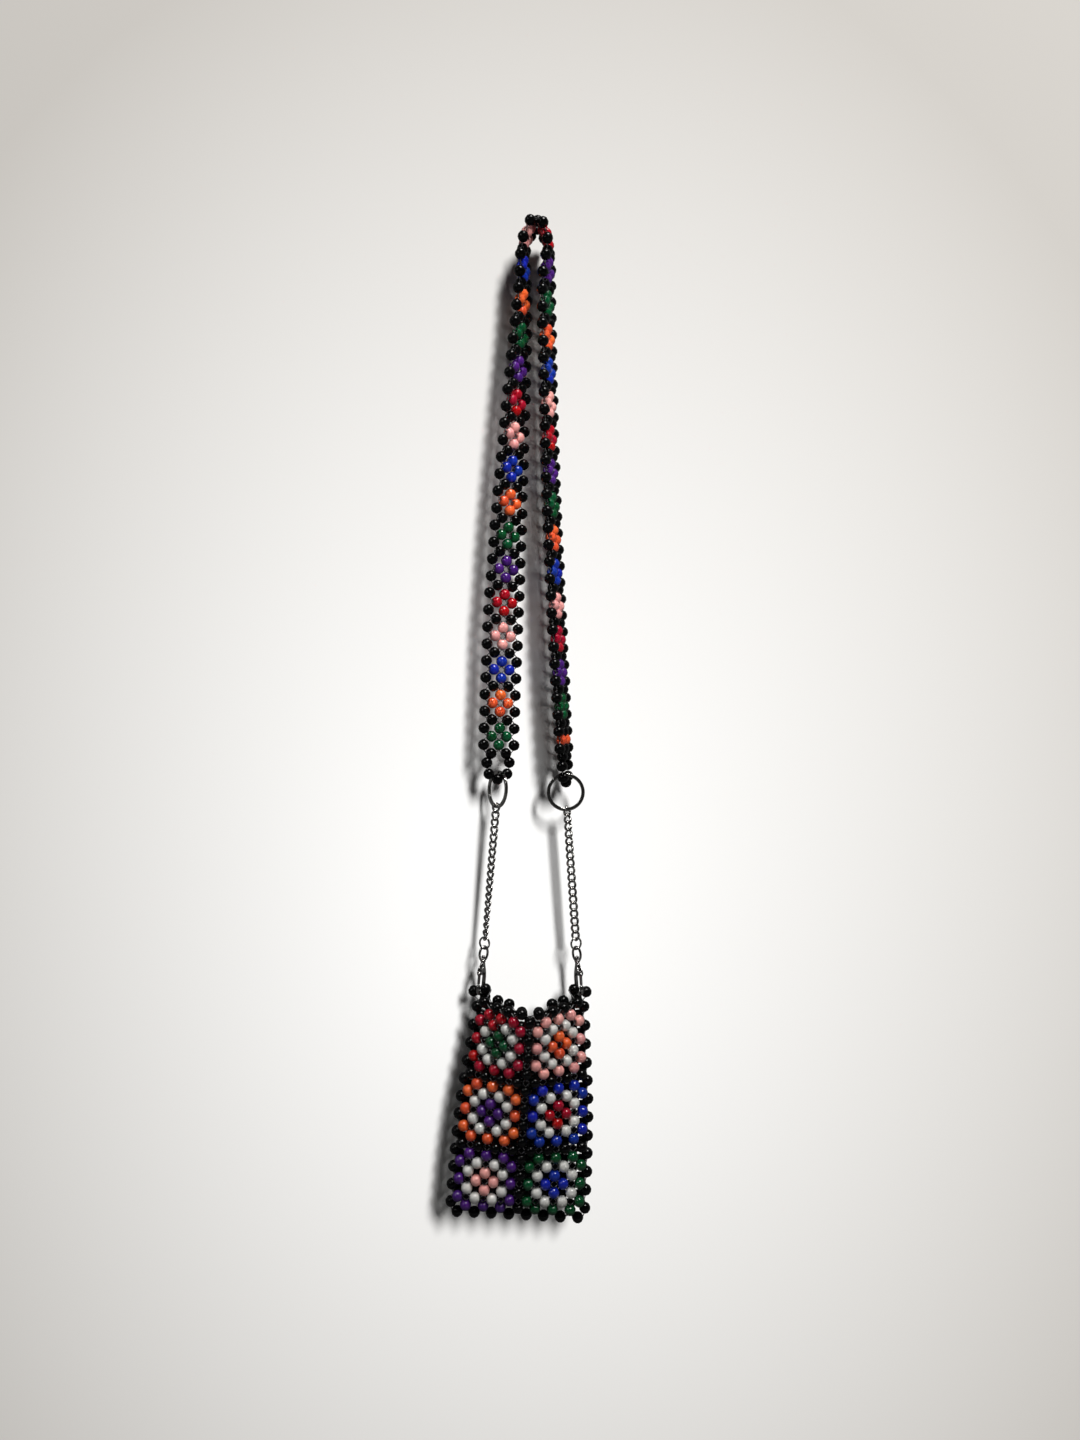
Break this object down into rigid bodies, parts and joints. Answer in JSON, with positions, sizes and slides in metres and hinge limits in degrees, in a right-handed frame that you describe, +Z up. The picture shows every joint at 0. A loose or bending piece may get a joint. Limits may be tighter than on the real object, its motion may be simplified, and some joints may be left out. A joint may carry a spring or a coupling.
{
  "type": "beaded phone bag",
  "caption": "Flat pouch woven from round beads in a flower-square pattern, open at the top, hung on a woven bead strap by split rings, curb chains and swivel lever clasps.",
  "frame": {"origin": "under the top bend of the strap, where the strap lies over whatever the bag hangs from", "axes": "+Z up along the hanging bag, +X to the viewer's right across the front of the pouch, -Y out of the front of the pouch towards the viewer"},
  "size_m": [0.1112, 0.059, 0.7593],
  "materials": {
    "beads": "glossy moulded beads, black with a coloured flower pattern",
    "nickel": "bright nickel plate"
  },
  "bodies": {
    "bag": {"strap": "beads", "pouch": "beads", "left_strap_loop": "beads", "right_strap_loop": "beads", "left_corner_loop": "beads", "right_corner_loop": "beads", "left_split_ring": "nickel", "right_split_ring": "nickel", "left_chain": "nickel", "right_chain": "nickel", "left_jump_ring": "nickel", "right_jump_ring": "nickel", "left_clasp_eye": "nickel", "right_clasp_eye": "nickel", "left_clasp_claw": "nickel", "right_clasp_claw": "nickel"},
    "left_lever": {"left_clasp_lever": "nickel"},
    "right_lever": {"right_clasp_lever": "nickel"}
  },
  "joints": [
    {"name": "left_lever_hinge", "type": "hinge", "parent": "bag", "child": "left_lever", "pos_m": [-0.04324, -0.00032, -0.56678], "axis": [0.9171, -0.3892, -0.0857], "range_deg": [0, 22], "stiffness_Nm_per_rad": 0.02, "springref_deg": -11.46},
    {"name": "right_lever_hinge", "type": "hinge", "parent": "bag", "child": "right_lever", "pos_m": [0.03326, -0.0019, -0.56686], "axis": [0.9184, 0.3902, 0.066], "range_deg": [0, 22], "stiffness_Nm_per_rad": 0.02, "springref_deg": -11.46}
  ]
}
